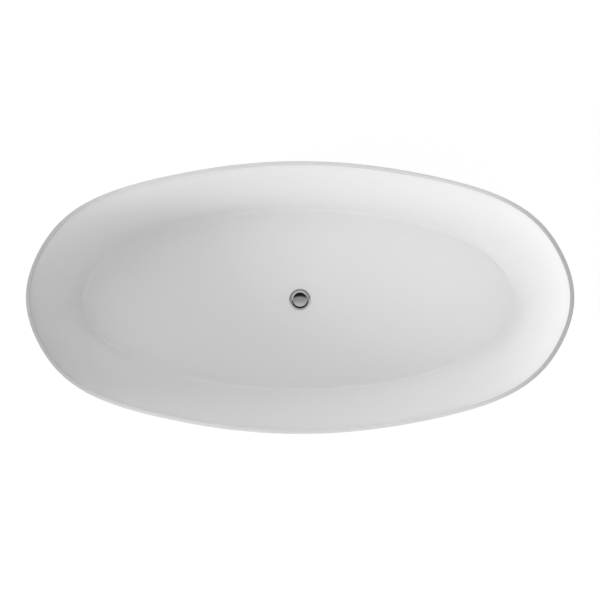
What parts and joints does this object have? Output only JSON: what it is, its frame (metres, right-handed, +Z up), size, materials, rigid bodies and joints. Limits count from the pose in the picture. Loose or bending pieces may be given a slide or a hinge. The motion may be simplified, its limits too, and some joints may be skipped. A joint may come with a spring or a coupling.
{
  "type": "freestanding bathtub",
  "caption": "Oval double-ended freestanding bathtub with a thin flat rim, sloped walls, a separate outer skirt, a steel underframe on screw feet and a central click-plug waste.",
  "frame": {"origin": "on the floor, under the centre of the waste, which is the middle of the tub", "axes": "+X along the tub's length, +Y across it, +Z up"},
  "size_m": [1.7, 0.846, 0.58],
  "materials": {
    "gloss_acrylic": "satin white sanitary acrylic",
    "bond": "cured white adhesive",
    "board": "raw particle board sealed with resin",
    "frame_steel": "grey powder coat",
    "zinc_steel": "zinc plated",
    "steel": "stainless steel",
    "chrome": "polished chrome plate",
    "brass": "turned brass",
    "white_plastic": "moulded polypropylene",
    "dark_plastic": "moulded black nylon",
    "rubber": "moulded black rubber"
  },
  "bodies": {
    "tub": {"basin": "gloss_acrylic", "outer_skirt": "gloss_acrylic", "rim_bond": "bond", "base_board": "board", "frame_rail_right": "frame_steel", "frame_rail_left": "frame_steel", "cross_bar_head": "frame_steel", "cross_bar_foot": "frame_steel", "frame_bolts": "zinc_steel", "frame_nuts": "zinc_steel", "board_screws": "zinc_steel", "skirt_bracket_1": "zinc_steel", "skirt_bracket_2": "zinc_steel", "skirt_bracket_3": "zinc_steel", "skirt_bracket_4": "zinc_steel", "bracket_screws": "zinc_steel", "foot_carrier_nuts": "zinc_steel", "foot_lock_nuts": "zinc_steel", "waste_flange": "chrome", "waste_top_seal": "rubber", "waste_low_seal": "rubber", "waste_slip_washer": "white_plastic", "waste_nut": "white_plastic", "plug_cartridge": "brass", "plug_spring": "steel"},
    "foot_1": {"foot_pad_1": "dark_plastic", "foot_sole_1": "rubber"},
    "stud_1": {"foot_stud_1": "zinc_steel"},
    "foot_2": {"foot_pad_2": "dark_plastic", "foot_sole_2": "rubber"},
    "stud_2": {"foot_stud_2": "zinc_steel"},
    "foot_3": {"foot_pad_3": "dark_plastic", "foot_sole_3": "rubber"},
    "stud_3": {"foot_stud_3": "zinc_steel"},
    "foot_4": {"foot_pad_4": "dark_plastic", "foot_sole_4": "rubber"},
    "stud_4": {"foot_stud_4": "zinc_steel"},
    "plug": {"plug_plunger": "steel", "plug_cap": "chrome", "plug_seal": "rubber"}
  },
  "joints": [
    {"name": "foot_1_travel", "type": "slide", "parent": "tub", "child": "foot_1", "axis": [0, 0, -1], "range_m": [0, 0.0175]},
    {"name": "foot_1_turn", "type": "hinge", "parent": "foot_1", "child": "stud_1", "pos_m": [0.43, 0.21, 0.05], "axis": [0, 0, -1], "range_deg": [0, 3600]},
    {"name": "foot_2_travel", "type": "slide", "parent": "tub", "child": "foot_2", "axis": [0, 0, -1], "range_m": [0, 0.0175]},
    {"name": "foot_2_turn", "type": "hinge", "parent": "foot_2", "child": "stud_2", "pos_m": [0.43, -0.21, 0.05], "axis": [0, 0, -1], "range_deg": [0, 3600]},
    {"name": "foot_3_travel", "type": "slide", "parent": "tub", "child": "foot_3", "axis": [0, 0, -1], "range_m": [0, 0.0175]},
    {"name": "foot_3_turn", "type": "hinge", "parent": "foot_3", "child": "stud_3", "pos_m": [-0.43, 0.21, 0.05], "axis": [0, 0, -1], "range_deg": [0, 3600]},
    {"name": "foot_4_travel", "type": "slide", "parent": "tub", "child": "foot_4", "axis": [0, 0, -1], "range_m": [0, 0.0175]},
    {"name": "foot_4_turn", "type": "hinge", "parent": "foot_4", "child": "stud_4", "pos_m": [-0.43, -0.21, 0.05], "axis": [0, 0, -1], "range_deg": [0, 3600]},
    {"name": "plug_click", "type": "slide", "parent": "tub", "child": "plug", "axis": [0, 0, 1], "range_m": [0, 0.009], "deforming": ["plug_spring"]}
  ],
  "couplings": [
    {"joint": "foot_1_turn", "follows": "foot_1_travel", "rad_per_m": 3590.4},
    {"joint": "foot_2_turn", "follows": "foot_2_travel", "rad_per_m": 3590.4},
    {"joint": "foot_3_turn", "follows": "foot_3_travel", "rad_per_m": 3590.4},
    {"joint": "foot_4_turn", "follows": "foot_4_travel", "rad_per_m": 3590.4}
  ]
}
